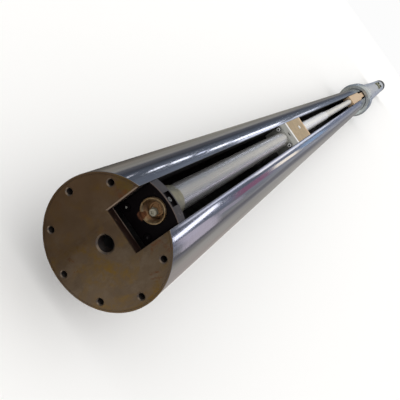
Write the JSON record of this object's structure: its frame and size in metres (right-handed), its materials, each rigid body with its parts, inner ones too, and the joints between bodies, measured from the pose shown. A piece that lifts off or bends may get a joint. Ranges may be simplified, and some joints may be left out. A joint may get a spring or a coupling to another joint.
{
  "type": "telescopic hydraulic cylinder",
  "caption": "Long slotted chrome tube that slides into a guide tube through a gland ring, driven by a slim two-stage hydraulic cylinder lying in its slot.",
  "frame": {"origin": "centre of the flat face on the guide tube's closed end", "axes": "+Y along the cylinder's axis, from the chrome tube's front face towards the closed end; +Z towards the slot; +X completes the frame"},
  "size_m": [0.168, 6.66, 0.168],
  "materials": {
    "chrome": "hard chrome, polished",
    "faced_steel": "machined steel gone brown with oil and light rust",
    "black_steel": "black oxide, oily",
    "yellow_zinc": "yellow zinc plating",
    "olive_zinc": "olive zinc plating",
    "satin_steel": "satin ground steel",
    "bright_steel": "ground bright steel",
    "rod_chrome": "chrome, slightly warm",
    "grey_steel": "machined grey steel",
    "tan_zinc": "tan passivated steel",
    "painted_steel": "blue-grey satin steel",
    "ring_steel": "turned grey-green steel",
    "screw_black": "black oxide",
    "bronze": "bronze",
    "seal": "rubber",
    "white_nylon": "moulded nylon"
  },
  "bodies": {
    "guide": {"rod": "rod_chrome", "rod_piston": "bronze", "rod_piston_seal": "seal", "anchor_block": "tan_zinc", "rod_pin": "satin_steel", "gland_ring": "ring_steel", "wiper_ring": "seal", "guide_bush_1": "bronze", "guide_bush_2": "bronze", "anchor_screw_1": "screw_black", "anchor_screw_2": "screw_black", "guide_tube": "painted_steel", "head_sleeve": "painted_steel", "end_collar": "grey_steel", "end_cap": "grey_steel", "port_boss": "yellow_zinc", "boss_plug_1": "screw_black", "boss_plug_2": "screw_black", "grease_nipple": "bright_steel"},
    "ram": {"slotted_tube": "chrome", "end_plate": "faced_steel", "tail_plug": "grey_steel", "tail_guide_ring": "white_nylon", "head_block": "black_steel", "port_adapter": "yellow_zinc", "port_plug": "white_nylon", "gallery_plug_1": "satin_steel", "gallery_plug_2": "satin_steel", "lock_screw": "satin_steel", "barrel_nut": "olive_zinc", "inner_barrel": "satin_steel", "barrel_flange": "grey_steel", "barrel_wiper": "seal", "bracket_block": "tan_zinc", "flange_screw_1": "screw_black", "flange_screw_2": "screw_black", "bracket_screw": "satin_steel"},
    "stage": {"stage_tube": "bright_steel", "stage_piston": "bronze", "stage_piston_seal": "seal", "stage_gland": "grey_steel"}
  },
  "joints": [
    {"name": "ram_slide", "type": "slide", "parent": "guide", "child": "ram", "axis": [0, 1, 0], "range_m": [0, 0.756]},
    {"name": "stage_slide", "type": "slide", "parent": "ram", "child": "stage", "axis": [0, -1, 0], "range_m": [0, 0.378]}
  ],
  "couplings": [
    {"joint": "stage_slide", "follows": "ram_slide", "ratio": 0.5}
  ]
}
